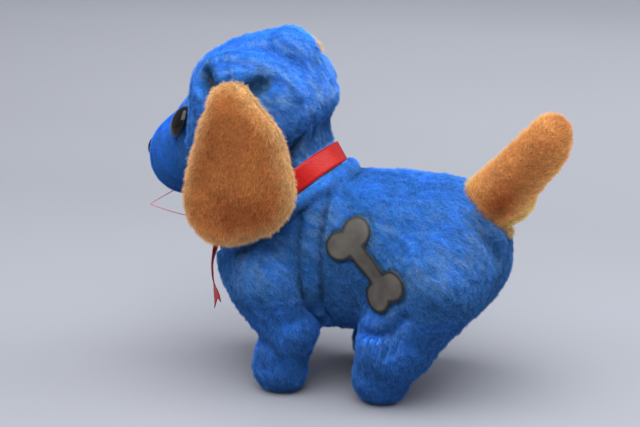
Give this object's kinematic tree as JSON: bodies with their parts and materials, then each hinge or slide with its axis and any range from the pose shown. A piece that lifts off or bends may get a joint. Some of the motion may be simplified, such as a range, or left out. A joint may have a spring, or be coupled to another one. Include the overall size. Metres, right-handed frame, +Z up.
{
  "type": "interactive plush pet",
  "caption": "Battery-driven plush walking puppy: soft skin over a geared mechanism with swinging legs, nodding head, hanging ears and a wagging tail.",
  "frame": {"origin": "on the ground, under the middle of the bounding box", "axes": "+X forwards towards the nose, +Y the animal's left, +Z up"},
  "size_m": [0.21, 0.1014, 0.1708],
  "materials": {
    "blue_plush": "short-pile plush",
    "muzzle_plush": "shorter-pile plush",
    "tan_plush": "longer-pile plush with pale tips",
    "satin_ribbon": "satin",
    "printed_patch": "printed felt",
    "pink_thread": "twisted thread",
    "black_button": "gloss",
    "grey_plastic": "fine texture",
    "white_plastic": "satin",
    "steel": "plated",
    "brass_pinion": "turned",
    "battery_wrap": "plain wrap",
    "black_plastic": "satin",
    "circuit_green": "lacquered",
    "wire_red": "insulated wire"
  },
  "bodies": {
    "root": {"chassis_left": "grey_plastic", "chassis_right": "grey_plastic", "chassis_screws": "steel", "battery_box": "grey_plastic", "batteries": "battery_wrap", "battery_springs": "steel", "battery_contacts": "steel", "switch_body": "steel", "circuit_board": "circuit_green", "speaker": "black_plastic", "wiring": "wire_red", "drive_motor": "steel", "gear_arbors": "steel", "leg_axles": "steel", "axle_washers": "steel", "body_plush": "blue_plush", "bone_patch": "printed_patch", "neck_plush": "blue_plush", "neck_ribbon": "satin_ribbon", "neck_bracket": "white_plastic", "neck_pin": "steel", "tail_bracket": "white_plastic", "tail_pin": "steel"},
    "battery_door": {"battery_cover": "grey_plastic", "cover_screw": "steel"},
    "power_slider": {"switch_knob": "black_plastic"},
    "motor_rotor": {"motor_shaft": "steel", "motor_pinion": "brass_pinion"},
    "gear_one": {"first_gear": "white_plastic"},
    "gear_two": {"second_gear": "white_plastic"},
    "crank": {"crankshaft": "steel", "final_gear": "white_plastic"},
    "hind_left_leg": {"leg_core_hind_left": "white_plastic", "leg_plush_hind_left": "blue_plush"},
    "hind_right_leg": {"leg_core_hind_right": "white_plastic", "leg_plush_hind_right": "blue_plush"},
    "front_left_leg": {"leg_core_front_left": "white_plastic", "leg_plush_front_left": "blue_plush"},
    "front_right_leg": {"leg_core_front_right": "white_plastic", "leg_plush_front_right": "blue_plush"},
    "left_link": {"walking_link_left": "white_plastic"},
    "right_link": {"walking_link_right": "white_plastic"},
    "head": {"head_carrier": "grey_plastic", "skull_left": "white_plastic", "skull_right": "white_plastic", "skull_screws": "steel", "head_plush": "blue_plush", "muzzle_plush": "muzzle_plush", "eye_left": "black_button", "eye_right": "black_button", "nose": "black_button", "safety_washers": "white_plastic", "mouth_thread": "pink_thread"},
    "left_ear": {"ear_left": "tan_plush"},
    "right_ear": {"ear_right": "tan_plush"},
    "tail": {"tail_core": "white_plastic", "tail_plush": "tan_plush"}
  },
  "joints": [
    {"name": "crank_spin", "type": "hinge", "parent": "root", "child": "crank", "pos_m": [-0.0005, 0, 0.077], "axis": [0, 1, 0], "continuous": true},
    {"name": "second_gear_spin", "type": "hinge", "parent": "root", "child": "gear_two", "pos_m": [-0.01225, 0, 0.07272], "axis": [0, 1, 0], "continuous": true},
    {"name": "first_gear_spin", "type": "hinge", "parent": "root", "child": "gear_one", "pos_m": [-0.02475, 0, 0.07272], "axis": [0, 1, 0], "continuous": true},
    {"name": "motor_spin", "type": "hinge", "parent": "root", "child": "motor_rotor", "pos_m": [-0.03712, 0, 0.07099], "axis": [0, 1, 0], "continuous": true},
    {"name": "hind_left_step", "type": "hinge", "parent": "root", "child": "hind_left_leg", "pos_m": [-0.03, 0, 0.06], "axis": [0, -1, 0], "range_deg": [0, 20]},
    {"name": "front_left_step", "type": "hinge", "parent": "root", "child": "front_left_leg", "pos_m": [0.029, 0, 0.06], "axis": [0, -1, 0], "range_deg": [0, 20]},
    {"name": "hind_right_step", "type": "hinge", "parent": "root", "child": "hind_right_leg", "pos_m": [-0.03, 0, 0.06], "axis": [0, -1, 0], "range_deg": [-20, 0]},
    {"name": "front_right_step", "type": "hinge", "parent": "root", "child": "front_right_leg", "pos_m": [0.029, 0, 0.06], "axis": [0, -1, 0], "range_deg": [-20, 0]},
    {"name": "left_link_pivot", "type": "hinge", "parent": "hind_left_leg", "child": "left_link", "pos_m": [-0.02705, 0, 0.07674], "axis": [0, -1, 0], "range_deg": [-20, 0]},
    {"name": "right_link_pivot", "type": "hinge", "parent": "hind_right_leg", "child": "right_link", "pos_m": [-0.03295, 0, 0.07674], "axis": [0, -1, 0], "range_deg": [0, 20]},
    {"name": "head_nod", "type": "hinge", "parent": "root", "child": "head", "pos_m": [0.026, 0, 0.108], "axis": [0, 1, 0], "range_deg": [-8, 10], "deforming": ["neck_plush"]},
    {"name": "left_ear_flap", "type": "hinge", "parent": "head", "child": "left_ear", "pos_m": [0.04089, 0.04585, 0.15205], "axis": [0.9945, -0.1045, 0], "range_deg": [0, 80]},
    {"name": "right_ear_flap", "type": "hinge", "parent": "head", "child": "right_ear", "pos_m": [0.02812, -0.03736, 0.16042], "axis": [-0.9945, 0.1045, 0], "range_deg": [0, 80]},
    {"name": "tail_wag", "type": "hinge", "parent": "root", "child": "tail", "pos_m": [-0.055, 0, 0.0825], "axis": [0.7385, 0, 0.6743], "range_deg": [-20, 20]},
    {"name": "battery_door_hinge", "type": "hinge", "parent": "root", "child": "battery_door", "pos_m": [-0.0372, 0, 0.035], "axis": [0, 1, 0], "range_deg": [0, 75]},
    {"name": "power_slide", "type": "slide", "parent": "root", "child": "power_slider", "axis": [0, 1, 0], "range_m": [0, 0.0022]}
  ],
  "couplings": [
    {"joint": "second_gear_spin", "follows": "crank_spin", "ratio": -4},
    {"joint": "first_gear_spin", "follows": "crank_spin", "ratio": 16},
    {"joint": "motor_spin", "follows": "crank_spin", "ratio": -64},
    {"joint": "front_left_step", "follows": "hind_left_step", "ratio": 1},
    {"joint": "hind_right_step", "follows": "hind_left_step", "ratio": -1},
    {"joint": "front_right_step", "follows": "hind_left_step", "ratio": -1},
    {"joint": "left_link_pivot", "follows": "hind_left_step", "ratio": -1},
    {"joint": "right_link_pivot", "follows": "hind_left_step", "ratio": 1}
  ]
}
